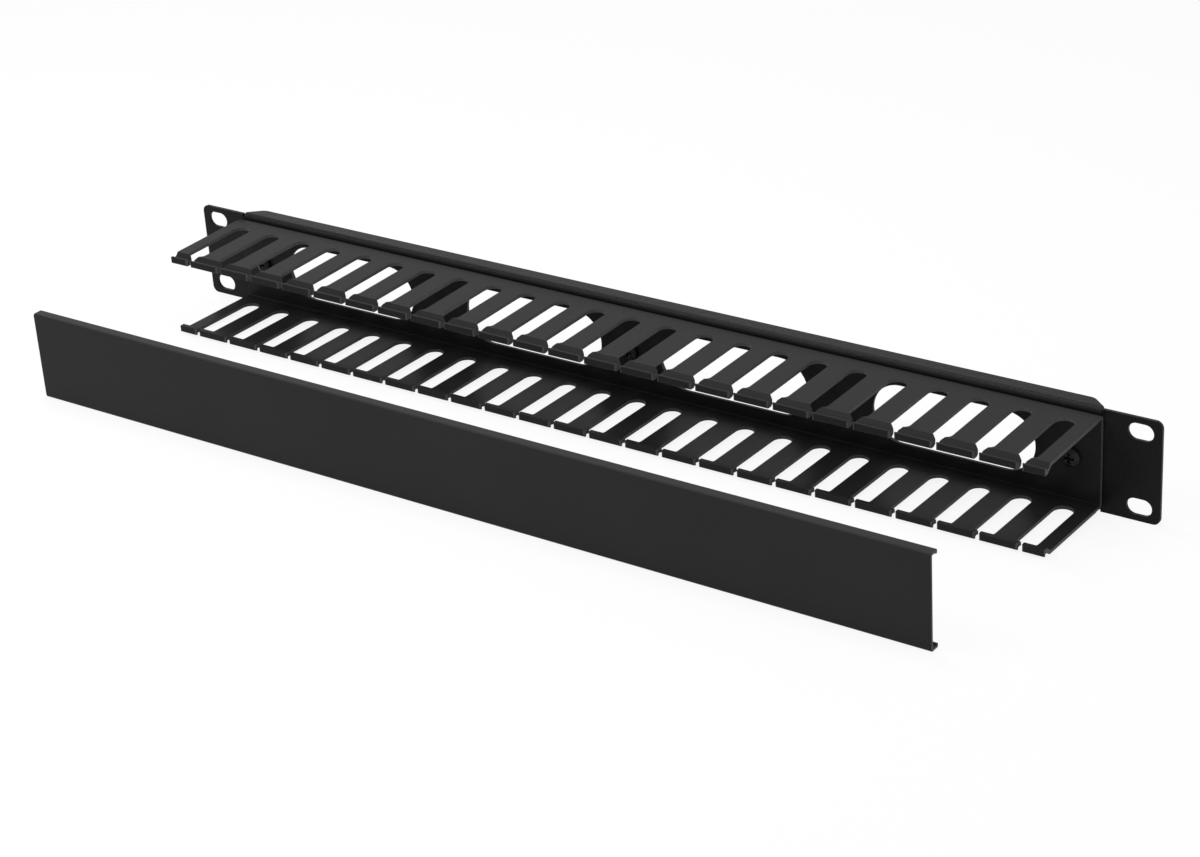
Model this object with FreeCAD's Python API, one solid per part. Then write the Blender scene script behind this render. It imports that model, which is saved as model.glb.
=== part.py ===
import FreeCAD, Part
import math
import os

# One-unit horizontal cable manager: a folded steel rack panel that carries a slotted plastic
# finger duct, held by three screws, with a clip-on cover standing off in front of it.
# Millimetres. X runs along the panel, +Z is up and the duct points to -Y.
# The origin is the centre of the four rack slots, on the rear face of the panel's ears.

# Rack standard: nineteen-inch width, one-unit height
PANEL_WIDTH = 482.6
PANEL_HEIGHT = 43.7
RACK_SLOT_INSET = 8.75
RACK_SLOT_PITCH_Z = 31.75
RACK_SLOT_LENGTH = 10.6
RACK_SLOT_WIDTH = 7.0

# Folded steel panel
SHEET = 1.5
PANEL_CORNER_RADIUS = 3.0
FLANGE_DEPTH = 8.0
FLANGE_HALF_LENGTH = 216.2
FLANGE_END_SLANT_X = 6.5
FLANGE_END_SLANT_Y = 5.5
FLANGE_CORNER_RADIUS = 5.0
BEND_INNER_RADIUS = 0.8
RELIEF_WIDTH = 0.3

# Cable windows, cut through the panel and the duct's back wall
WINDOW_COUNT = 4
WINDOW_END_INSET = 27.85
WINDOW_LENGTH = 72.0
WINDOW_HEIGHT = 25.4
WINDOW_CLEARANCE = 1.0

# Finger duct section
DUCT_LENGTH = 434.6
DUCT_HEIGHT = 39.5
DUCT_WALL = 1.5
DUCT_BACK_RADIUS = 1.8
WALL_LEAN = 0.75
JOG_START = 43.4
JOG_END = 44.9
GROOVE_HALF_HEIGHT = 17.5
RIDGE_START = 47.0
RIDGE_HALF_HEIGHT = 18.35
TIP_INNER_HALF_HEIGHT = 15.4
TIP_NOSE = 48.0
TIP_CHAMFER = 0.3
INNER_JOG_START = 42.8
INNER_JOG_END = 45.8

# Slots between the fingers, as many as the duct's length holds
SLOT_PITCH = 18.0
SLOT_WIDTH = 8.6
SLOT_ROOT = 8.2
SLOT_SHOULDER = 42.0
SHOULDER_SLANT = 2.6
TIP_GAP = 1.8
TIP_END_CHAMFER = 0.6

# Clip-on cover
COVER_LENGTH = DUCT_LENGTH
COVER_HEIGHT = 39.2
COVER_WALL = 1.1
COVER_NOSE_CLEARANCE = 0.4
COVER_FLANGE_DEPTH = 4.7
COVER_LIP_HALF_OPENING = 17.85
COVER_EDGE_RADIUS = 1.0
COVER_LIP_RADIUS = 0.4
COVER_TRAVEL_Y = 83.2
COVER_TRAVEL_Z = 4.6

# Pan-head machine screws, washers and nuts, four-millimetre thread
SCREW_END_INSET = 12.3
SCREW_DIAMETER = 4.0
SCREW_HOLE_DIAMETER = 4.5
SCREW_REACH = 8.0
SCREW_END_CHAMFER = 0.4
HEAD_DIAMETER = 8.0
HEAD_HEIGHT = 3.0
HEAD_RIM = 1.1
HEAD_CROWN_RADIUS = 6.5
RECESS_SPAN = 4.4
RECESS_WING = 1.0
RECESS_DEPTH = 1.8
THREAD_CLEARANCE = 0.05
NUT_ACROSS_FLATS = 7.0
NUT_HEIGHT = 3.2
NUT_CHAMFER = 0.45
WASHER_DIAMETER = 9.0
WASHER_HOLE_DIAMETER = 4.3
WASHER_THICKNESS = 0.8

# Allowance by which a cutting shape runs past the face it cuts
OVERRUN = 2.0

PANEL_FRONT = -SHEET
DUCT_FRONT = PANEL_FRONT - DUCT_WALL
RACK_SLOT_X = PANEL_WIDTH / 2 - RACK_SLOT_INSET
SLOT_COUNT = int(DUCT_LENGTH / SLOT_PITCH)
WINDOW_PITCH = (DUCT_LENGTH - 2 * WINDOW_END_INSET - WINDOW_LENGTH) / (WINDOW_COUNT - 1)
SCREW_END_X = DUCT_LENGTH / 2 - SCREW_END_INSET
SCREW_PLACES = (("left", -SCREW_END_X), ("middle", 0.0), ("right", SCREW_END_X))


def vec(x, y, z):
    return FreeCAD.Vector(x, y, z)


def rounded_outline(corners):
    """Closed outline through (point, radius) corners, each rounded by its radius."""
    starts, ends, mids = [], [], []
    count = len(corners)
    for i, (point, radius) in enumerate(corners):
        to_last = (corners[i - 1][0] - point).normalize()
        to_next = (corners[(i + 1) % count][0] - point).normalize()
        half = to_last.getAngle(to_next) / 2.0
        back = radius / math.tan(half)
        middle = (to_last + to_next).normalize() * (radius / math.sin(half) - radius)
        starts.append(point + to_last * back)
        ends.append(point + to_next * back)
        mids.append(point + middle)
    edges = []
    for i in range(count):
        if corners[i][1] > 0:
            edges.append(Part.Arc(starts[i], mids[i], ends[i]).toShape())
        following = (i + 1) % count
        if (starts[following] - ends[i]).Length > 1e-6:
            edges.append(Part.makeLine(ends[i], starts[following]))
    return Part.Wire(edges)


def section_along_x(corners, half_length):
    """Solid bar with a Y-Z section, centred on the middle of the part."""
    points = [(vec(-half_length, y, z), radius) for y, z, radius in corners]
    return Part.Face(rounded_outline(points)).extrude(vec(2 * half_length, 0, 0))


def plate_along_y(corners, front, back):
    """Solid plate with an X-Z outline between two depths."""
    points = [(vec(x, front, z), radius) for x, z, radius in corners]
    return Part.Face(rounded_outline(points)).extrude(vec(0, back - front, 0))


def column_along_z(corners, half_height):
    """Solid column with an X-Y outline, centred on the middle height."""
    points = [(vec(x, y, -half_height), radius) for x, y, radius in corners]
    return Part.Face(rounded_outline(points)).extrude(vec(0, 0, 2 * half_height))


def obround(centre_x, centre_z, length, height, front, back):
    """Round-ended slot shape, long along X, cut along Y."""
    left, right = centre_x - length / 2, centre_x + length / 2
    low, high = centre_z - height / 2, centre_z + height / 2
    radius = height / 2
    corners = [(left, low, radius), (right, low, radius), (right, high, radius), (left, high, radius)]
    return plate_along_y(corners, front, back)


def rod_along_y(x, diameter, front, back):
    return Part.makeCylinder(diameter / 2, back - front, vec(x, front, 0), vec(0, 1, 0))


def window_shapes(extra, front, back):
    """The cable windows, grown by extra on every side."""
    shapes = []
    for i in range(WINDOW_COUNT):
        x = (i - (WINDOW_COUNT - 1) / 2) * WINDOW_PITCH
        length, height = WINDOW_LENGTH + 2 * extra, WINDOW_HEIGHT + 2 * extra
        shapes.append(obround(x, 0, length, height, front, back))
    return shapes


def screw_hole_shapes(front, back):
    return [rod_along_y(x, SCREW_HOLE_DIAMETER, front, back) for _, x in SCREW_PLACES]


def flange_end_shapes():
    """What is trimmed off the flanges: slanted ends, rounded at their back corners."""
    rear = PANEL_FRONT + FLANGE_DEPTH
    inner = FLANGE_HALF_LENGTH - FLANGE_END_SLANT_X
    outer = FLANGE_HALF_LENGTH + OVERRUN
    keep = column_along_z(
        [
            (-FLANGE_HALF_LENGTH, PANEL_FRONT - OVERRUN, 0),
            (-FLANGE_HALF_LENGTH, rear - FLANGE_END_SLANT_Y, 0),
            (-inner, rear, FLANGE_CORNER_RADIUS),
            (inner, rear, FLANGE_CORNER_RADIUS),
            (FLANGE_HALF_LENGTH, rear - FLANGE_END_SLANT_Y, 0),
            (FLANGE_HALF_LENGTH, PANEL_FRONT - OVERRUN, 0),
        ],
        PANEL_HEIGHT,
    )
    block = Part.makeBox(
        2 * outer, FLANGE_DEPTH + 2 * OVERRUN, 2 * PANEL_HEIGHT, vec(-outer, 0, -PANEL_HEIGHT)
    )
    return block.cut(keep)


def rack_panel():
    """Flat ears and web with both long edges folded back."""
    top = PANEL_HEIGHT / 2
    rear = PANEL_FRONT + FLANGE_DEPTH
    bend = BEND_INNER_RADIUS + SHEET
    folded = section_along_x(
        [
            (PANEL_FRONT, -top, bend),
            (PANEL_FRONT, top, bend),
            (rear, top, 0),
            (rear, top - SHEET, 0),
            (0, top - SHEET, BEND_INNER_RADIUS),
            (0, -top + SHEET, BEND_INNER_RADIUS),
            (rear, -top + SHEET, 0),
            (rear, -top, 0),
        ],
        FLANGE_HALF_LENGTH,
    )
    folded = folded.cut(flange_end_shapes())
    side = PANEL_WIDTH / 2
    radius = PANEL_CORNER_RADIUS
    flat = plate_along_y(
        [(-side, -top, radius), (side, -top, radius), (side, top, radius), (-side, top, radius)],
        PANEL_FRONT,
        0,
    )
    middle = plate_along_y(
        [
            (-FLANGE_HALF_LENGTH - RELIEF_WIDTH, top - bend, 0),
            (-FLANGE_HALF_LENGTH - RELIEF_WIDTH, top + OVERRUN, 0),
            (FLANGE_HALF_LENGTH + RELIEF_WIDTH, top + OVERRUN, 0),
            (FLANGE_HALF_LENGTH + RELIEF_WIDTH, top - bend, 0),
        ],
        PANEL_FRONT - OVERRUN,
        OVERRUN,
    )
    flat = flat.cut([middle, middle.mirror(vec(0, 0, 0), vec(0, 0, 1))])
    panel = flat.fuse(folded).removeSplitter()
    cuts = window_shapes(WINDOW_CLEARANCE, PANEL_FRONT - OVERRUN, OVERRUN)
    cuts += screw_hole_shapes(PANEL_FRONT - OVERRUN, OVERRUN)
    for x in (-RACK_SLOT_X, RACK_SLOT_X):
        for z in (-RACK_SLOT_PITCH_Z / 2, RACK_SLOT_PITCH_Z / 2):
            cuts.append(
                obround(x, z, RACK_SLOT_LENGTH, RACK_SLOT_WIDTH, PANEL_FRONT - OVERRUN, OVERRUN)
            )
    return panel.cut(cuts)


def duct_upper_section():
    """Outer then inner corners of one duct wall, from its back to its tip and home again."""
    lean = math.tan(math.radians(WALL_LEAN))
    outer = DUCT_HEIGHT / 2
    jog_outer = outer - lean * JOG_START
    jog_inner = outer - lean * INNER_JOG_START - DUCT_WALL
    return (
        [
            (0, outer, DUCT_BACK_RADIUS),
            (JOG_START, jog_outer, 0),
            (JOG_END, GROOVE_HALF_HEIGHT, 0),
            (RIDGE_START, GROOVE_HALF_HEIGHT, 0),
            (RIDGE_START, RIDGE_HALF_HEIGHT, 0),
            (TIP_NOSE - TIP_CHAMFER, RIDGE_HALF_HEIGHT, 0),
            (TIP_NOSE, RIDGE_HALF_HEIGHT - TIP_CHAMFER, 0),
            (TIP_NOSE, TIP_INNER_HALF_HEIGHT + TIP_CHAMFER, 0),
            (TIP_NOSE - TIP_CHAMFER, TIP_INNER_HALF_HEIGHT, 0),
        ],
        [
            (INNER_JOG_END, TIP_INNER_HALF_HEIGHT, 0),
            (INNER_JOG_START, jog_inner, 0),
            (DUCT_WALL, outer - lean * DUCT_WALL - DUCT_WALL, 0),
        ],
    )


def slot_shape(centre_x):
    """One slot as seen from above: round root, straight sides, shoulders and tip gap."""
    half = SLOT_WIDTH / 2
    gap = TIP_GAP / 2
    root = PANEL_FRONT - SLOT_ROOT
    shoulder = PANEL_FRONT - SLOT_SHOULDER
    nose = PANEL_FRONT - TIP_NOSE
    chamfer = TIP_END_CHAMFER
    side = [
        (half, root, half),
        (half, shoulder, 0),
        (gap + chamfer, shoulder - SHOULDER_SLANT, 0),
        (gap, shoulder - SHOULDER_SLANT - chamfer, 0),
        (gap, nose + chamfer, 0),
        (gap + chamfer + OVERRUN, nose - OVERRUN, 0),
    ]
    corners = [(centre_x + x, y, r) for x, y, r in side]
    corners += [(centre_x - x, y, r) for x, y, r in reversed(side)]
    return column_along_z(corners, DUCT_HEIGHT)


def finger_duct():
    """Channel with two slotted walls whose fingers end in ridged bars."""
    outer, inner = duct_upper_section()
    upper = outer + inner
    lower = [(y, -z, r) for y, z, r in reversed(upper)]
    corners = [(PANEL_FRONT - y, z, r) for y, z, r in upper + lower]
    duct = section_along_x(corners, DUCT_LENGTH / 2)
    cuts = [slot_shape((i - (SLOT_COUNT - 1) / 2) * SLOT_PITCH) for i in range(SLOT_COUNT)]
    cuts += window_shapes(0, DUCT_FRONT - OVERRUN, PANEL_FRONT + OVERRUN)
    cuts += screw_hole_shapes(DUCT_FRONT - OVERRUN, PANEL_FRONT + OVERRUN)
    return duct.cut(cuts)


def duct_cover():
    """Shallow channel with an inward lip along each flange, standing off its clipped-on place."""
    plate_inner = PANEL_FRONT - TIP_NOSE - COVER_NOSE_CLEARANCE
    plate_outer = plate_inner - COVER_WALL
    rear = plate_outer + COVER_FLANGE_DEPTH
    high = COVER_HEIGHT / 2
    upper = [
        (plate_outer, high, COVER_EDGE_RADIUS),
        (rear, high, COVER_LIP_RADIUS),
        (rear, COVER_LIP_HALF_OPENING, COVER_LIP_RADIUS),
        (rear - COVER_WALL, COVER_LIP_HALF_OPENING, COVER_LIP_RADIUS),
        (rear - COVER_WALL, high - COVER_WALL, 0),
        (plate_inner, high - COVER_WALL, 0),
    ]
    lower = [(y, -z, r) for y, z, r in reversed(upper)]
    cover = section_along_x(upper + lower, COVER_LENGTH / 2)
    cover.translate(vec(0, -COVER_TRAVEL_Y, COVER_TRAVEL_Z))
    return cover


def screw(x):
    """Pan-head screw with a cross recess, its head against the duct's back wall."""
    crown = DUCT_FRONT - HEAD_HEIGHT
    head = rod_along_y(x, HEAD_DIAMETER, crown, DUCT_FRONT)
    dome = Part.makeSphere(HEAD_CROWN_RADIUS, vec(x, crown + HEAD_CROWN_RADIUS, 0))
    rim = rod_along_y(x, HEAD_DIAMETER, DUCT_FRONT - HEAD_RIM, DUCT_FRONT)
    head = head.common(dome).fuse(rim)
    recess_wide = Part.makeBox(
        RECESS_SPAN, RECESS_DEPTH + OVERRUN, RECESS_WING,
        vec(x - RECESS_SPAN / 2, crown - OVERRUN, -RECESS_WING / 2),
    )
    recess_tall = Part.makeBox(
        RECESS_WING, RECESS_DEPTH + OVERRUN, RECESS_SPAN,
        vec(x - RECESS_WING / 2, crown - OVERRUN, -RECESS_SPAN / 2),
    )
    shank = rod_along_y(x, SCREW_DIAMETER, DUCT_FRONT, DUCT_FRONT + SCREW_REACH)
    body = head.fuse(shank)
    shank_end = [e for e in body.Edges if abs(e.BoundBox.YMin - DUCT_FRONT - SCREW_REACH) < 1e-6]
    body = body.makeChamfer(SCREW_END_CHAMFER, shank_end)
    return body.cut([recess_wide, recess_tall]).removeSplitter()


def washer(x):
    """Plain washer between the panel's rear face and the nut."""
    disc = rod_along_y(x, WASHER_DIAMETER, 0, WASHER_THICKNESS)
    return disc.cut(rod_along_y(x, WASHER_HOLE_DIAMETER, -OVERRUN, WASHER_THICKNESS + OVERRUN))


def nut(x):
    """Hexagon nut with its corners taken off both faces."""
    front, back = WASHER_THICKNESS, WASHER_THICKNESS + NUT_HEIGHT
    corner = NUT_ACROSS_FLATS / math.sqrt(3)
    points = []
    for i in range(6):
        angle = math.radians(60 * i)
        points.append((x + corner * math.cos(angle), corner * math.sin(angle), 0))
    prism = plate_along_y(points, front, back)
    barrel = rod_along_y(x, 2 * corner, front, back)
    rims = [e for e in barrel.Edges if e.isClosed() and e.Length > corner]
    prism = prism.common(barrel.makeChamfer(NUT_CHAMFER, rims))
    bore = rod_along_y(x, SCREW_DIAMETER + 2 * THREAD_CLEARANCE, front - OVERRUN, back + OVERRUN)
    return prism.cut(bore)


def save(node, shape):
    shape.exportStep("parts/" + node + ".step")


def build():
    os.makedirs("parts", exist_ok=True)
    save("rack_panel", rack_panel())
    save("finger_duct", finger_duct())
    save("duct_cover", duct_cover())
    for name, x in SCREW_PLACES:
        save("screw_" + name, screw(x))
        save("washer_" + name, washer(x))
        save("nut_" + name, nut(x))


build()
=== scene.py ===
import math

import bmesh
import bpy
from bpy.props import FloatProperty, FloatVectorProperty, IntProperty, PointerProperty
from mathutils import Matrix, Vector


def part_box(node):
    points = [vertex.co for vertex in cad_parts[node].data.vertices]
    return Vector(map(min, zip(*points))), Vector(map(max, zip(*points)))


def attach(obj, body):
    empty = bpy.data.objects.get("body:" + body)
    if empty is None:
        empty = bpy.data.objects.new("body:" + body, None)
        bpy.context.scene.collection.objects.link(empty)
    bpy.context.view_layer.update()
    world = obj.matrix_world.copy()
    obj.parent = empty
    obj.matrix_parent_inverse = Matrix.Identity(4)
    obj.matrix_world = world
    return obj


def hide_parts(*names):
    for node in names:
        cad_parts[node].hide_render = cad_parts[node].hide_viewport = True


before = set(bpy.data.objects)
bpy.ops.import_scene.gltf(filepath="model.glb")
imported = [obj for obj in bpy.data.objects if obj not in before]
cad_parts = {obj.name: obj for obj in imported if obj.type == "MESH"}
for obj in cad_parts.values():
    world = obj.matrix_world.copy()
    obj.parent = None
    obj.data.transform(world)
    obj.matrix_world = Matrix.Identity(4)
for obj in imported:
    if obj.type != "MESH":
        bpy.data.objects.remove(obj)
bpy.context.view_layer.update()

bl_info = {
    "name": "Horizontal cable manager",
    "version": (1, 0, 0),
    "blender": (4, 5, 0),
    "location": "View3D > Sidebar > Cable manager",
    "description": "Dresses the one-unit cable manager: folded panel, finger duct, cover, screws and studio",
    "category": "Object",
}

MM = 0.001

# Boxes of the solid parts, which the dressed pieces are fitted to
PANEL_LOW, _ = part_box("rack_panel")
DUCT_LOW, DUCT_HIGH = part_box("finger_duct")
SCREW_LOW, SCREW_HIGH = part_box("screw_right")

# Counts
WINDOW_COUNT = 4
FASTENER_COUNT = 3

# Mesh work: distances that count as none, roundings and angles
SAME_POINT = 0.001 * MM
JOIN_DISTANCE = 0.002 * MM
WELD_DISTANCE = 0.005 * MM
SEAM_TOLERANCE = 0.01 * MM
FASTENER_EDGE = 0.08 * MM
EDGE_SEGMENTS = 2
CRISP_ANGLE = math.radians(32)
FLAT_ANGLE = math.radians(0.4)
FLAT_WEIGHT = 80

# Which way a face turns, as a part of its normal, for the paler cut faces
UPRIGHT = 0.3
SIDEWAYS = 0.05
ENDWAYS = 0.9

# Sockets of the colour mix, whose names are shared with its number and vector sockets
MIX_FIRST = 6
MIX_SECOND = 7
MIX_RESULT = 2

# Studio
FLOOR_HALF = 6.0
FLOOR_GAP = 0.1 * MM
FLOOR_GLOW = 0.88
AIR_COLOUR = (0.97, 0.98, 1, 1)
AIR_STRENGTH = 0.4
WHITE = (1, 1, 1, 1)
FILM_WIDTH_MM = 36
VIEW_END = 50


# Sizes and colours a user would change


class ManagerSizes(bpy.types.PropertyGroup):
    slot_count: IntProperty(
        name="Slots",
        description="Slots along each wall of the duct",
        default=24,
        min=2,
    )
    slot_pitch: FloatProperty(
        name="Slot pitch",
        description="Distance from slot to slot",
        default=18 * MM,
        unit="LENGTH",
    )
    slot_width: FloatProperty(
        name="Slot width",
        description="Width of a slot between fingers",
        default=8.6 * MM,
        unit="LENGTH",
    )
    slot_root: FloatProperty(
        name="Slot root",
        description="Panel front to the slot's round end",
        default=8.2 * MM,
        unit="LENGTH",
    )
    shoulder: FloatProperty(
        name="Shoulder",
        description="Panel front to where a finger widens",
        default=42 * MM,
        unit="LENGTH",
    )
    flare: FloatProperty(
        name="Flare",
        description="Depth over which a finger widens to its tip bar",
        default=2.6 * MM,
        unit="LENGTH",
    )
    flare_radius: FloatProperty(
        name="Flare radius",
        description="Rounding where a finger starts to widen",
        default=2.4 * MM,
        unit="LENGTH",
    )
    tip_gap: FloatProperty(
        name="Tip gap",
        description="Gap between neighbouring tip bars",
        default=1.8 * MM,
        unit="LENGTH",
    )
    tip_corner: FloatProperty(
        name="Tip corner",
        description="Radius at the ends of a tip bar",
        default=0.7 * MM,
        unit="LENGTH",
    )
    wall: FloatProperty(
        name="Duct wall",
        description="Thickness of the duct's walls",
        default=1.5 * MM,
        unit="LENGTH",
    )
    wall_lean: FloatProperty(
        name="Wall lean",
        description="Inward lean of each wall",
        default=math.radians(0.75),
        subtype="ANGLE",
    )
    window_pitch: FloatProperty(
        name="Window pitch",
        description="Distance from window to window",
        default=102.3 * MM,
        unit="LENGTH",
    )
    window_length: FloatProperty(
        name="Window length",
        description="Length of a cable window",
        default=72 * MM,
        unit="LENGTH",
    )
    window_height: FloatProperty(
        name="Window height",
        description="Height of a cable window",
        default=25.4 * MM,
        unit="LENGTH",
    )
    moulded_edge: FloatProperty(
        name="Plastic edge",
        description="Rounding of the plastic edges",
        default=0.34 * MM,
        unit="LENGTH",
    )
    painted_edge: FloatProperty(
        name="Painted edge",
        description="Rounding of the painted sheet's edges",
        default=0.3 * MM,
        unit="LENGTH",
    )


class ManagerColours(bpy.types.PropertyGroup):
    panel: FloatVectorProperty(
        name="Panel paint",
        description="Powder coat",
        subtype="COLOR",
        size=3,
        default=(0.011, 0.011, 0.0114),
    )
    duct: FloatVectorProperty(
        name="Duct plastic",
        description="Skin of the duct",
        subtype="COLOR",
        size=3,
        default=(0.02, 0.02, 0.0205),
    )
    cut: FloatVectorProperty(
        name="Cut plastic",
        description="Punched and sawn faces",
        subtype="COLOR",
        size=3,
        default=(0.085, 0.085, 0.088),
    )
    cover: FloatVectorProperty(
        name="Cover plastic",
        description="Skin of the cover",
        subtype="COLOR",
        size=3,
        default=(0.024, 0.024, 0.0245),
    )
    screw: FloatVectorProperty(
        name="Screw black",
        description="Blackened screw steel",
        subtype="COLOR",
        size=3,
        default=(0.012, 0.012, 0.0125),
    )
    zinc: FloatVectorProperty(
        name="Zinc",
        description="Plated nuts and washers",
        subtype="COLOR",
        size=3,
        default=(0.45, 0.46, 0.48),
    )
    floor: FloatVectorProperty(
        name="Floor",
        description="Floor and backdrop",
        subtype="COLOR",
        size=3,
        default=(0.94, 0.94, 0.94),
    )


class ManagerStudio(bpy.types.PropertyGroup):
    azimuth: FloatProperty(
        name="Azimuth",
        description="Camera swing to the right of the front",
        default=math.radians(37.057),
        subtype="ANGLE",
    )
    elevation: FloatProperty(
        name="Elevation",
        description="Camera height above level",
        default=math.radians(25.9),
        subtype="ANGLE",
    )
    roll: FloatProperty(
        name="Roll",
        description="Camera turn about its own line of sight",
        default=math.radians(-3.927),
        subtype="ANGLE",
    )
    distance: FloatProperty(
        name="Distance",
        description="Camera to its aim point",
        default=1.21815,
        unit="LENGTH",
    )
    aim_x: FloatProperty(
        name="Aim across",
        description="Aim point along the panel",
        default=-23.62 * MM,
        unit="LENGTH",
    )
    aim_y: FloatProperty(
        name="Aim depth",
        description="Aim point in depth",
        default=-1.5 * MM,
        unit="LENGTH",
    )
    aim_z: FloatProperty(
        name="Aim height",
        description="Aim point's height",
        default=-34.32 * MM,
        unit="LENGTH",
    )
    lens: FloatProperty(
        name="Lens",
        description="Focal length in millimetres",
        default=84.74,
    )
    shift_x: FloatProperty(
        name="Shift across",
        description="Lens shift to the right",
        default=0.00672,
    )
    shift_y: FloatProperty(
        name="Shift up",
        description="Lens shift upwards",
        default=-0.01492,
    )
    floor_tilt: FloatProperty(
        name="Floor tilt",
        description="Lean of the surface the parts stand on",
        default=math.radians(2.94),
        subtype="ANGLE",
    )


# Shader building


class Signal:
    """A shader socket that takes part in sums and products."""

    def __init__(self, tree, socket):
        self.tree = tree
        self.socket = socket

    def maths(self, operation, other, swapped=False):
        left, right = (other, self) if swapped else (self, other)
        return self.tree.add("ShaderNodeMath", {"operation": operation}, {0: left, 1: right})

    def __add__(self, other):
        return self.maths("ADD", other)

    def __radd__(self, other):
        return self.maths("ADD", other, True)

    def __sub__(self, other):
        return self.maths("SUBTRACT", other)

    def __rsub__(self, other):
        return self.maths("SUBTRACT", other, True)

    def __mul__(self, other):
        return self.maths("MULTIPLY", other)

    def __rmul__(self, other):
        return self.maths("MULTIPLY", other, True)


class Finish:
    """The shader nodes of one material or of the world."""

    def __init__(self, owner, ending="ShaderNodeOutputMaterial"):
        owner.use_nodes = True
        self.owner = owner
        self.nodes = owner.node_tree.nodes
        self.links = owner.node_tree.links
        self.nodes.clear()
        self.output = self.nodes.new(ending)

    @classmethod
    def material(cls, name):
        return cls(bpy.data.materials.new(name))

    def feed(self, node, sockets):
        for key, value in sockets.items():
            if isinstance(value, Signal):
                self.links.new(value.socket, node.inputs[key])
            else:
                node.inputs[key].default_value = value

    def node(self, kind, settings=None, sockets=None):
        """Makes a node: its settings come first, then the values and links of its sockets."""
        made = self.nodes.new(kind)
        for key, value in (settings or {}).items():
            setattr(made, key, value)
        self.feed(made, sockets or {})
        return made

    def add(self, kind, settings=None, sockets=None, out=0):
        return Signal(self, self.node(kind, settings, sockets).outputs[out])

    def place(self, stretch):
        """Object coordinates, stretched along the axes."""
        here = self.add("ShaderNodeTexCoord", out="Object")
        return self.add("ShaderNodeMapping", {}, {"Vector": here, "Scale": stretch})

    def grain(self, scale, detail=2.0, roughness=0.5, stretch=(1, 1, 1)):
        """Noise between 0 and 1, with so many lumps to the metre."""
        sockets = {"Vector": self.place(stretch), "Scale": scale, "Detail": detail, "Roughness": roughness}
        return self.add("ShaderNodeTexNoise", {}, sockets)

    def mix(self, factor, first, second):
        sockets = {"Factor": factor, MIX_FIRST: first, MIX_SECOND: second}
        return self.add("ShaderNodeMix", {"data_type": "RGBA"}, sockets, MIX_RESULT)

    def bump(self, height, distance):
        return self.add("ShaderNodeBump", {}, {"Height": height, "Distance": distance})

    def seen(self):
        """1 for rays that show a backdrop: the camera's, mirrored and refracted ones."""
        rays = self.node("ShaderNodeLightPath")
        straight = Signal(self, rays.outputs["Is Camera Ray"])
        mirrored = Signal(self, rays.outputs["Is Glossy Ray"])
        refracted = Signal(self, rays.outputs["Is Transmission Ray"])
        return straight.maths("MAXIMUM", mirrored.maths("MAXIMUM", refracted))

    def show(self, shader):
        """Puts a shader on the surface, and returns the material or world."""
        self.feed(self.output, {"Surface": shader})
        return self.owner

    def surface(self, sockets):
        return self.show(self.add("ShaderNodeBsdfPrincipled", {}, sockets))


def solid(colour, factor=1.0):
    return (colour[0] * factor, colour[1] * factor, colour[2] * factor, 1.0)


def powder_coat(name, colour):
    """Fine-textured black powder coat: a pebbled skin whose random pebbles are glossier and also painted
    paler, a painted glint.
    """
    finish = Finish.material(name)
    pebbles = finish.grain(scale=1400, detail=3.0, roughness=0.6)
    swell = finish.grain(scale=420, detail=1.0)
    drift = finish.grain(scale=9)
    sockets = {"Value": pebbles, "From Min": 0.55, "From Max": 0.7}
    painted_glint_and_gloss = finish.add("ShaderNodeMapRange", {}, sockets)
    shade = finish.mix(drift, solid(colour, 0.85), solid(colour, 1.15))
    # Painted glint: random pebbles are painted up to 1.8 times the paint colour, and are made glossier below
    skin = finish.mix(painted_glint_and_gloss * 0.6, shade, solid(colour, 1.8))
    relief = pebbles * 0.75 + swell * 0.25
    return finish.surface(
        {
            "Base Color": skin,
            "Roughness": 0.24 - painted_glint_and_gloss * 0.08 + drift * 0.05,
            "Specular IOR Level": 0.06,
            "Normal": finish.bump(relief, 0.2 * MM),
        }
    )


def moulded_plastic(name, colour, cut_colour, gloss, streak, shine):
    """Satin rigid plastic with faint lines along its length and paler cut faces."""
    finish = Finish.material(name)
    cut = finish.add("ShaderNodeAttribute", {"attribute_name": "cut_face"}, {}, out="Fac")
    lines = finish.grain(scale=900, roughness=0.55, stretch=(0.012, 1, 1))
    pores = finish.grain(scale=3200)
    drift = finish.grain(scale=14)
    saw = finish.grain(scale=2400, stretch=(1, 1, 0.08))
    skin = finish.mix(drift, solid(colour, 0.88), solid(colour, 1.12))
    raw = finish.mix(saw, solid(cut_colour, 0.7), solid(cut_colour, 1.3))
    relief = lines * streak + pores * (1 - streak)
    return finish.surface(
        {
            "Base Color": finish.mix(cut, skin, raw),
            "Roughness": gloss + 0.1 * (drift - 0.5) + 0.06 * (lines - 0.5) + 0.2 * cut,
            "Specular IOR Level": shine,
            "Normal": finish.bump(relief, 0.03 * MM),
        }
    )


def plated_steel(name, colour, metallic, rough):
    """Small turned or pressed steel pieces, finely marked by their making."""
    finish = Finish.material(name)
    marks = finish.grain(scale=1500, detail=3.0, roughness=0.6)
    skin = finish.mix(marks, solid(colour, 0.7), solid(colour, 1.25))
    return finish.surface(
        {
            "Base Color": skin,
            "Metallic": metallic,
            "Roughness": rough + 0.16 * (marks - 0.5),
            "Specular IOR Level": 0.2,
            "Normal": finish.bump(marks, 0.02 * MM),
        }
    )


def floor_finish(name, colour):
    """Pale floor that the camera sees as white, less the parts' soft shadow."""
    finish = Finish.material(name)
    matt = finish.add("ShaderNodeBsdfDiffuse", {}, {"Color": solid(colour)})
    glow = finish.add("ShaderNodeEmission", {}, {"Color": WHITE, "Strength": 1.0})
    sockets = {0: finish.seen() * FLOOR_GLOW, 1: matt, 2: glow}
    return finish.show(finish.add("ShaderNodeMixShader", {}, sockets))


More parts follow.
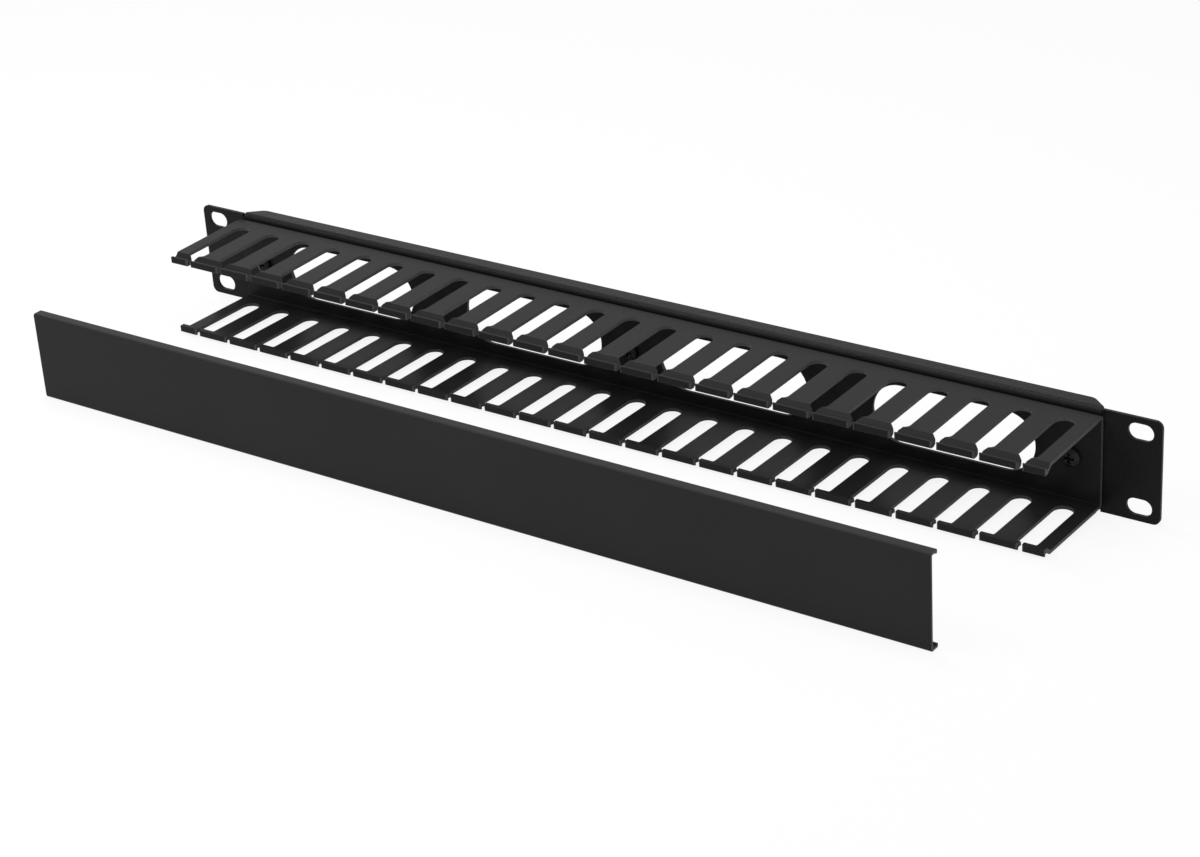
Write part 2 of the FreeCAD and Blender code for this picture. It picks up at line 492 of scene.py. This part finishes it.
def studio_air(world):
    """Soft even light, behind which the backdrop shows as white."""
    air = Finish(world, "ShaderNodeOutputWorld")
    felt = air.add("ShaderNodeBackground", {}, {"Color": AIR_COLOUR, "Strength": AIR_STRENGTH})
    shown = air.add("ShaderNodeBackground", {}, {"Color": WHITE, "Strength": 1.0})
    sockets = {0: air.seen(), 1: felt, 2: shown}
    return air.show(air.add("ShaderNodeMixShader", {}, sockets))


# Mesh building


def put(name, mesh):
    item = bpy.data.objects.new(name, mesh)
    bpy.context.scene.collection.objects.link(item)
    return item


def baked(item):
    """Turns an object's modifiers into its mesh."""
    graph = bpy.context.evaluated_depsgraph_get()
    mesh = bpy.data.meshes.new_from_object(item.evaluated_get(graph))
    item.modifiers.clear()
    item.data = mesh
    return item


def discard(*items):
    for item in items:
        bpy.data.objects.remove(item)


def arc(x, y, radius, start, end, steps):
    """Points along part of a circle, angles in degrees."""
    points = []
    for i in range(steps + 1):
        angle = math.radians(start + (end - start) * i / steps)
        points.append((x + radius * math.cos(angle), y + radius * math.sin(angle)))
    return points


def rounded(corners, steps):
    """Closed outline through (x, y, radius) corners, each rounded by its radius."""
    points = []
    count = len(corners)
    for i, (x, y, radius) in enumerate(corners):
        here = Vector((x, y))
        if radius == 0:
            points.append((x, y))
            continue
        last = (Vector(corners[i - 1][:2]) - here).normalized()
        following = (Vector(corners[(i + 1) % count][:2]) - here).normalized()
        half = last.angle(following) / 2
        centre = here + (last + following).normalized() * (radius / math.sin(half))
        start = here + last * (radius / math.tan(half)) - centre
        end = here + following * (radius / math.tan(half)) - centre
        for step in range(steps + 1):
            points.append(tuple(centre + start.slerp(end, step / steps) * radius))
    return [p for i, p in enumerate(points) if math.dist(p, points[i - 1]) > SAME_POINT]


def prism(name, outline, places, to_point):
    """Closed bar: an outline repeated at several places along its length."""
    shape = bmesh.new()
    rings = []
    for place in places:
        rings.append([shape.verts.new(to_point(a, b, place)) for a, b in outline])
    count = len(outline)
    for near, far in zip(rings, rings[1:]):
        for i in range(count):
            j = (i + 1) % count
            shape.faces.new((near[i], near[j], far[j], far[i]))
    shape.faces.new(rings[0])
    shape.faces.new(rings[-1])
    bmesh.ops.recalc_face_normals(shape, faces=shape.faces)
    mesh = bpy.data.meshes.new(name)
    shape.to_mesh(mesh)
    shape.free()
    return put(name, mesh)


def along_x(y, z, x):
    return (x, y, z)


def along_y(x, z, y):
    return (x, y, z)


def along_z(x, y, z):
    return (x, y, z)


def cut_away(item, cutters):
    """Takes the cutters out of an object and throws them away."""
    for cutter in cutters:
        step = item.modifiers.new("cut", "BOOLEAN")
        step.operation = "DIFFERENCE"
        step.solver = "EXACT"
        step.object = cutter
    baked(item)
    discard(*cutters)
    return item


def open_at(item, tests):
    """Deletes the faces that lie wholly where a test holds, leaving open seams to join on."""
    shape = bmesh.new()
    shape.from_mesh(item.data)
    doomed = [f for f in shape.faces if any(all(test(v.co) for v in f.verts) for test in tests)]
    bmesh.ops.delete(shape, geom=doomed, context="FACES")
    shape.to_mesh(item.data)
    shape.free()


def mark_cut(item, is_cut):
    """Stores which faces were punched or sawn, for the paler finish."""
    mark = item.data.attributes.new("cut_face", "FLOAT", "FACE")
    for face in item.data.polygons:
        mark.data[face.index].value = 1.0 if is_cut(face.normal, face.center) else 0.0


def round_edges(item, width):
    """Small rounding on every crisp edge, the way paint or a mould leaves it."""
    step = item.modifiers.new("edge", "BEVEL")
    step.width = width
    step.segments = EDGE_SEGMENTS
    step.limit_method = "ANGLE"
    step.angle_limit = CRISP_ANGLE
    step.use_clamp_overlap = True
    return baked(item)


def even_shading(item):
    """Smooth shading that keeps the broad faces flat."""
    item.data.shade_smooth()
    step = item.modifiers.new("shading", "WEIGHTED_NORMAL")
    step.keep_sharp = True
    step.weight = FLAT_WEIGHT
    return baked(item)


def merged_copy(name, node):
    """A joined-up copy of a solid part's mesh, with its flat faces whole again."""
    shape = bmesh.new()
    shape.from_mesh(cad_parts[node].data)
    bmesh.ops.remove_doubles(shape, verts=shape.verts, dist=JOIN_DISTANCE)
    bmesh.ops.dissolve_limit(shape, angle_limit=FLAT_ANGLE, verts=shape.verts, edges=shape.edges)
    mesh = bpy.data.meshes.new(name)
    shape.to_mesh(mesh)
    shape.free()
    return put(name, mesh)


def finished(item, body, slot, *nodes):
    """Hangs a piece on its body's empty and hides the solid parts it stands in for."""
    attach(item, body)
    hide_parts(*nodes)


# Geometry node trees


class Nodes:
    """A geometry node tree, with named inputs that are set by their identifiers."""

    def __init__(self, name):
        self.tree = bpy.data.node_groups.new(name, "GeometryNodeTree")
        self.identifiers = {}
        self.tree.interface.new_socket("Geometry", in_out="OUTPUT", socket_type="NodeSocketGeometry")
        self.entry = None

    def input(self, name, kind):
        socket = self.tree.interface.new_socket(name, in_out="INPUT", socket_type=kind)
        self.identifiers[name] = socket.identifier

    def begin(self):
        self.entry = self.tree.nodes.new("NodeGroupInput")

    def value(self, name):
        return self.entry.outputs[name]

    def add(self, kind, settings=None, sockets=None, out=0):
        made = self.tree.nodes.new(kind)
        for key, setting in (settings or {}).items():
            setattr(made, key, setting)
        for key, value in (sockets or {}).items():
            several = value if isinstance(value, list) else [value]
            for one in several:
                if isinstance(one, bpy.types.NodeSocket):
                    self.tree.links.new(one, made.inputs[key])
                else:
                    made.inputs[key].default_value = one
        return made.outputs[out]

    def mesh_of(self, name):
        return self.add("GeometryNodeObjectInfo", {}, {"Object": self.value(name)}, out="Geometry")

    def maths(self, operation, left, right):
        return self.add("ShaderNodeMath", {"operation": operation}, {0: left, 1: right})

    def row(self, piece, count, spacing):
        """Repeats the piece of one input along x, evenly about the middle."""
        gaps = self.maths("SUBTRACT", self.value(count), 1.0)
        reach = self.maths("MULTIPLY", gaps, self.value(spacing))
        first = self.maths("MULTIPLY", reach, -0.5)
        start = self.add("ShaderNodeCombineXYZ", {}, {"X": first})
        offset = self.add("ShaderNodeCombineXYZ", {}, {"X": self.value(spacing)})
        sockets = {"Count": self.value(count), "Start Location": start, "Offset": offset}
        line = self.add("GeometryNodeMeshLine", {}, sockets)
        sockets = {"Points": line, "Instance": self.mesh_of(piece)}
        return self.add("GeometryNodeInstanceOnPoints", {}, sockets)

    def finish(self, geometry, material):
        """Ends the tree: real geometry, painted."""
        whole = self.add("GeometryNodeRealizeInstances", {}, {"Geometry": geometry})
        painted = self.add("GeometryNodeSetMaterial", {}, {"Geometry": whole, "Material": material})
        end = self.tree.nodes.new("NodeGroupOutput")
        self.tree.links.new(painted, end.inputs["Geometry"])

    def run(self, name, values):
        """Runs the tree on an empty mesh and returns the result as a plain object."""
        item = put(name, bpy.data.meshes.new(name))
        step = item.modifiers.new("build", "NODES")
        step.node_group = self.tree
        for key, value in values.items():
            step[self.identifiers[key]] = value
        item.update_tag()
        return baked(item)


def finger_row_nodes():
    """Repeats one finger along the duct, closes the ends, mirrors the row and joins the back."""
    tree = Nodes("finger rows")
    tree.input("Finger", "NodeSocketObject")
    tree.input("End finger", "NodeSocketObject")
    tree.input("Back wall", "NodeSocketObject")
    tree.input("Fingers", "NodeSocketInt")
    tree.input("Pitch", "NodeSocketFloat")
    tree.input("Weld distance", "NodeSocketFloat")
    tree.input("Material", "NodeSocketMaterial")
    tree.begin()

    def flipped(geometry, scale):
        turned = tree.add("GeometryNodeTransform", {}, {"Geometry": geometry, "Scale": scale})
        return tree.add("GeometryNodeFlipFaces", {}, {"Mesh": turned})

    fingers = tree.row("Finger", "Fingers", "Pitch")
    solid_row = tree.add("GeometryNodeRealizeInstances", {}, {"Geometry": fingers})
    end = tree.mesh_of("End finger")
    upper_parts = [solid_row, end, flipped(end, (-1, 1, 1))]
    upper = tree.add("GeometryNodeJoinGeometry", {}, {0: upper_parts})
    parts = [upper, flipped(upper, (1, 1, -1)), tree.mesh_of("Back wall")]
    duct = tree.add("GeometryNodeJoinGeometry", {}, {0: parts})
    sockets = {"Geometry": duct, "Distance": tree.value("Weld distance")}
    welded = tree.add("GeometryNodeMergeByDistance", {}, sockets)
    tree.finish(welded, tree.value("Material"))
    return tree


def fastener_nodes():
    """Repeats one fastener along the duct."""
    tree = Nodes("fastener row")
    tree.input("Fastener", "NodeSocketObject")
    tree.input("Count", "NodeSocketInt")
    tree.input("Spacing", "NodeSocketFloat")
    tree.input("Material", "NodeSocketMaterial")
    tree.begin()
    tree.finish(tree.row("Fastener", "Count", "Spacing"), tree.value("Material"))
    return tree


# Finger duct


class DuctShape:
    """Section and slot outline of the duct. Depths run from the panel's front to the tips."""

    HALF_HEIGHT = 19.75 * MM
    JOG_START = 43.4 * MM
    JOG_END = 44.9 * MM
    INNER_JOG_START = 42.8 * MM
    INNER_JOG_END = 45.8 * MM
    GROOVE = 17.5 * MM
    RIDGE_START = 47.0 * MM
    RIDGE = 18.35 * MM
    TIP_INNER = 15.4 * MM
    TIP_RADIUS = 0.3 * MM
    BACK_RADIUS = 1.8 * MM
    CREASE_RADIUS = 0.5 * MM
    SEAM = 5.0 * MM
    OVERRUN = 2.0 * MM
    WINDOW_DEPTH = 3 * MM
    TIP_MARGIN = 2 * MM
    CORNER_ZONE = 5 * MM
    TIP_STEPS = 3
    BACK_STEPS = 6
    CREASE_STEPS = 4
    SLOT_STEPS = 7
    WINDOW_STEPS = 24

    def __init__(self, sizes):
        self.sizes = sizes
        self.back = DUCT_HIGH[1]
        self.nose = DUCT_LOW[1]
        self.reach = self.back - self.nose
        self.half_length = DUCT_HIGH[0]
        self.slope = math.tan(sizes.wall_lean)

    def outer(self, depth):
        return self.HALF_HEIGHT - self.slope * depth

    def inner(self, depth):
        return self.outer(depth) - self.sizes.wall

    def wall_section(self):
        """Y-Z outline of the upper wall from the seam to the rounded tip."""
        radius = self.TIP_RADIUS
        top = [
            (self.SEAM, self.outer(self.SEAM)),
            (self.JOG_START, self.outer(self.JOG_START)),
            (self.JOG_END, self.GROOVE),
            (self.RIDGE_START, self.GROOVE),
            (self.RIDGE_START, self.RIDGE),
        ]
        middle = self.reach - radius
        nose = arc(middle, self.RIDGE - radius, radius, 90, 0, self.TIP_STEPS)
        nose += arc(middle, self.TIP_INNER + radius, radius, 0, -90, self.TIP_STEPS)
        under = [
            (self.INNER_JOG_END, self.TIP_INNER),
            (self.INNER_JOG_START, self.inner(self.INNER_JOG_START)),
            (self.SEAM, self.inner(self.SEAM)),
        ]
        return [(self.back - depth, z) for depth, z in top + nose + under]

    def back_section(self):
        """Y-Z outline of the channel's back, between its two seams."""
        radius = self.BACK_RADIUS
        wall = self.sizes.wall
        corner = arc(radius, self.HALF_HEIGHT - radius, radius, 90, 180, self.BACK_STEPS)
        upper = [(self.SEAM, self.inner(self.SEAM)), (self.SEAM, self.outer(self.SEAM))] + corner
        lower = [(depth, -z) for depth, z in reversed(upper)]
        turn = self.CREASE_RADIUS
        deep = wall + turn
        crease = arc(deep, self.inner(deep) - turn, turn, 180, 90, self.CREASE_STEPS)
        inside = [(depth, -z) for depth, z in reversed(crease)] + crease
        return [(self.back - depth, z) for depth, z in upper + lower + inside]

    def slot_outline(self, centre):
        """X-Y outline of one slot: round root, straight sides, flared shoulders and tip gap."""
        sizes = self.sizes
        half = sizes.slot_width / 2
        gap = sizes.tip_gap / 2
        corner = sizes.tip_corner
        widest = sizes.shoulder + sizes.flare
        side = [
            (half, -sizes.slot_root, half),
            (half, -sizes.shoulder, sizes.flare_radius),
            (gap, -widest, corner),
            (gap, -self.reach, corner),
            (gap + self.OVERRUN, -self.reach, 0),
            (gap + self.OVERRUN, -self.reach - self.OVERRUN, 0),
        ]
        corners = side + [(-x, y, radius) for x, y, radius in reversed(side)]
        return [(centre + x, self.back + y) for x, y in rounded(corners, self.SLOT_STEPS)]

    def slot_cutter(self, centre):
        high = self.HALF_HEIGHT + self.OVERRUN
        return prism("slot", self.slot_outline(centre), (0.0, high), along_z)

    def finger(self, name, left, right, slots, open_left):
        """One finger's stretch of the upper wall, open to the right and at times to the left."""
        item = prism(name, self.wall_section(), (left, right), along_x)
        cut_away(item, [self.slot_cutter(x) for x in slots])
        seam = self.back - self.SEAM
        tests = [lambda p: abs(p.y - seam) < SEAM_TOLERANCE]
        if open_left:
            tests.append(lambda p: abs(p.x - left) < SEAM_TOLERANCE)
        tests.append(lambda p: abs(p.x - right) < SEAM_TOLERANCE)
        open_at(item, tests)
        ridge = self.back - self.RIDGE_START + self.TIP_MARGIN
        mark_cut(item, lambda n, c: abs(n.z) < UPRIGHT and (abs(n.x) > SIDEWAYS or c.y > ridge))
        return round_edges(item, self.sizes.moulded_edge)

    def back_wall(self, name):
        """The channel's back with its cable windows. The screw heads cover their holes."""
        sizes = self.sizes
        places = [-self.half_length]
        for i in range(sizes.slot_count):
            places.append((i - (sizes.slot_count - 1) / 2) * sizes.slot_pitch)
        places.append(self.half_length)
        item = prism(name, self.back_section(), places, along_x)
        deep = (self.back - self.WINDOW_DEPTH - self.OVERRUN, self.back + self.OVERRUN)
        cutters = []
        for i in range(WINDOW_COUNT):
            x = (i - (WINDOW_COUNT - 1) / 2) * sizes.window_pitch
            radius = sizes.window_height / 2
            reach = sizes.window_length / 2 - radius
            outline = arc(x + reach, 0, radius, -90, 90, self.WINDOW_STEPS)
            outline += arc(x - reach, 0, radius, 90, 270, self.WINDOW_STEPS)
            cutters.append(prism("window", outline, deep, along_y))
        cut_away(item, cutters)
        seam = self.back - self.SEAM
        open_at(item, [lambda p: abs(p.y - seam) < SEAM_TOLERANCE])
        low = self.HALF_HEIGHT - self.CORNER_ZONE
        mark_cut(item, lambda n, c: abs(n.x) > ENDWAYS or (abs(n.y) < UPRIGHT and abs(c.z) < low))
        return round_edges(item, sizes.moulded_edge)


class MANAGER_OT_finger_duct(bpy.types.Operator):
    """Builds the slotted plastic duct"""

    bl_idname = "manager.finger_duct"
    bl_label = "Finger duct"

    def execute(self, context):
        sizes = context.scene.manager_sizes
        colours = context.scene.manager_colours
        shape = DuctShape(sizes)
        half = sizes.slot_pitch / 2
        first_slot = -(sizes.slot_count - 1) / 2 * sizes.slot_pitch
        finger = shape.finger("one finger", -half, half, (-half, half), open_left=True)
        end = shape.finger(
            "end finger", -shape.half_length, first_slot, (first_slot,), open_left=False
        )
        back = shape.back_wall("back wall")
        plastic = moulded_plastic(
            "duct plastic", colours.duct, colours.cut, gloss=0.32, streak=0.5, shine=0.045
        )
        duct = finger_row_nodes().run(
            "finger_duct_skin",
            {
                "Finger": finger,
                "End finger": end,
                "Back wall": back,
                "Fingers": sizes.slot_count - 1,
                "Pitch": sizes.slot_pitch,
                "Weld distance": WELD_DISTANCE,
                "Material": plastic,
            },
        )
        discard(finger, end, back)
        even_shading(duct)
        finished(duct, "manager", "duct_plastic", "finger_duct")
        return {"FINISHED"}


# Rack panel


class MANAGER_OT_rack_panel(bpy.types.Operator):
    """Gives the folded steel panel its painted edges"""

    bl_idname = "manager.rack_panel"
    bl_label = "Rack panel"

    def execute(self, context):
        sizes = context.scene.manager_sizes
        colours = context.scene.manager_colours
        panel = merged_copy("rack_panel_skin", "rack_panel")
        round_edges(panel, sizes.painted_edge)
        panel.data.materials.append(powder_coat("panel powder coat", colours.panel))
        even_shading(panel)
        finished(panel, "manager", "panel_paint", "rack_panel")
        return {"FINISHED"}


# Cover


class MANAGER_OT_duct_cover(bpy.types.Operator):
    """Builds the clip-on cover's skin"""

    bl_idname = "manager.duct_cover"
    bl_label = "Duct cover"

    def execute(self, context):
        sizes = context.scene.manager_sizes
        colours = context.scene.manager_colours
        cover = merged_copy("duct_cover_skin", "duct_cover")
        mark_cut(cover, lambda n, c: abs(n.x) > ENDWAYS)
        round_edges(cover, sizes.moulded_edge)
        plastic = moulded_plastic(
            "cover plastic", colours.cover, colours.cut, gloss=0.4, streak=0.35, shine=0.065
        )
        cover.data.materials.append(plastic)
        even_shading(cover)
        finished(cover, "cover", "cover_plastic", "duct_cover")
        return {"FINISHED"}


# Fasteners


class MANAGER_OT_fasteners(bpy.types.Operator):
    """Repeats the screw, washer and nut along the duct"""

    bl_idname = "manager.fasteners"
    bl_label = "Fasteners"

    def execute(self, context):
        colours = context.scene.manager_colours
        black = plated_steel("blackened screw steel", colours.screw, metallic=0.0, rough=0.38)
        bright = plated_steel("zinc plated steel", colours.zinc, metallic=1.0, rough=0.34)
        spacing = (SCREW_LOW[0] + SCREW_HIGH[0]) / 2
        tree = fastener_nodes()
        for kind, material, slot in (
            ("screw", black, "screw_steel"),
            ("washer", bright, "hidden_steel"),
            ("nut", bright, "hidden_steel"),
        ):
            one = merged_copy("one " + kind, kind + "_middle")
            round_edges(one, FASTENER_EDGE)
            values = {
                "Fastener": one,
                "Count": FASTENER_COUNT,
                "Spacing": spacing,
                "Material": material,
            }
            row = tree.run(kind + "_row", values)
            discard(one)
            even_shading(row)
            finished(row, "manager", slot, kind + "_left", kind + "_middle", kind + "_right")
        return {"FINISHED"}


# Studio


def camera_turn(studio):
    """The line from the aim point back to the camera, and the camera's axes as a turn."""
    swing, rise, roll = studio.azimuth, studio.elevation, studio.roll
    level = math.cos(rise)
    back = Vector((math.sin(swing) * level, -math.cos(swing) * level, math.sin(rise)))
    right = Vector((0, 0, 1)).cross(back).normalized()
    up = back.cross(right)
    side = right * math.cos(roll) + up * math.sin(roll)
    top = up * math.cos(roll) - right * math.sin(roll)
    return back, Matrix((side, top, back)).transposed()


def area_light(name, place, aim, width, depth, power):
    data = bpy.data.lights.new(name, "AREA")
    data.shape = "RECTANGLE"
    data.size = width
    data.size_y = depth
    data.energy = power
    lamp = bpy.data.objects.new(name, data)
    bpy.context.scene.collection.objects.link(lamp)
    lamp.location = place
    lamp.rotation_euler = (Vector(aim) - Vector(place)).to_track_quat("-Z", "Y").to_euler()
    return lamp


class MANAGER_OT_studio(bpy.types.Operator):
    """Sets up the floor, the lights and the camera"""

    bl_idname = "manager.studio"
    bl_label = "Studio"

    def execute(self, context):
        scene = context.scene
        studio = scene.manager_studio
        colours = scene.manager_colours
        self.floor(studio, colours)
        self.lights(scene)
        self.camera(scene, studio)
        scene.view_settings.view_transform = "Standard"
        return {"FINISHED"}

    def floor(self, studio, colours):
        mesh = bpy.data.meshes.new("floor")
        foot = PANEL_LOW[2] - FLOOR_GAP
        rise = math.tan(studio.floor_tilt)
        corners = [(-1, -1), (1, -1), (1, 1), (-1, 1)]
        points = [(x * FLOOR_HALF, y * FLOOR_HALF, foot - rise * y * FLOOR_HALF) for x, y in corners]
        mesh.from_pydata(points, [], [(0, 1, 2, 3)])
        floor = put("floor", mesh)
        mesh.materials.append(floor_finish("white sweep", colours.floor))

    def lights(self, scene):
        world = bpy.data.worlds.new("studio air")
        scene.world = studio_air(world)
        middle = (0, -0.06, 0)
        area_light("overhead softbox", (-0.15, 0.0, 1.2), middle, 0.25, 1.2, 9)
        area_light("edge strip", (-0.65, -0.6, 0.95), (-0.4, 0.0, 0.0), 0.9, 0.05, 4.6)
        area_light("right softbox", (1.7, 0.45, 0.5), middle, 0.8, 0.6, 3)

    def camera(self, scene, studio):
        data = bpy.data.cameras.new("camera")
        data.sensor_width = FILM_WIDTH_MM
        data.lens = studio.lens
        data.shift_x = studio.shift_x
        data.shift_y = studio.shift_y
        data.clip_end = VIEW_END
        back, turn = camera_turn(studio)
        camera = bpy.data.objects.new("camera", data)
        scene.collection.objects.link(camera)
        aim = Vector((studio.aim_x, studio.aim_y, studio.aim_z))
        camera.matrix_world = Matrix.Translation(aim + back * studio.distance) @ turn.to_4x4()
        scene.camera = camera


# Panel and registration

STEPS = (
    MANAGER_OT_rack_panel,
    MANAGER_OT_finger_duct,
    MANAGER_OT_duct_cover,
    MANAGER_OT_fasteners,
    MANAGER_OT_studio,
)


class MANAGER_PT_sidebar(bpy.types.Panel):
    bl_idname = "MANAGER_PT_sidebar"
    bl_label = "Cable manager"
    bl_space_type = "VIEW_3D"
    bl_region_type = "UI"
    bl_category = "Cable manager"

    def draw(self, context):
        for step in STEPS:
            self.layout.operator(step.bl_idname)
        scene = context.scene
        for group in (scene.manager_sizes, scene.manager_colours, scene.manager_studio):
            for name in group.__annotations__:
                self.layout.prop(group, name)


CLASSES = (ManagerSizes, ManagerColours, ManagerStudio) + STEPS + (MANAGER_PT_sidebar,)


def register():
    for one in CLASSES:
        bpy.utils.register_class(one)
    bpy.types.Scene.manager_sizes = PointerProperty(type=ManagerSizes)
    bpy.types.Scene.manager_colours = PointerProperty(type=ManagerColours)
    bpy.types.Scene.manager_studio = PointerProperty(type=ManagerStudio)


def unregister():
    del bpy.types.Scene.manager_sizes
    del bpy.types.Scene.manager_colours
    del bpy.types.Scene.manager_studio
    for one in reversed(CLASSES):
        bpy.utils.unregister_class(one)


def main():
    register()
    bpy.ops.manager.rack_panel()
    bpy.ops.manager.finger_duct()
    bpy.ops.manager.duct_cover()
    bpy.ops.manager.fasteners()
    bpy.ops.manager.studio()


if __name__ == "__main__":
    main()
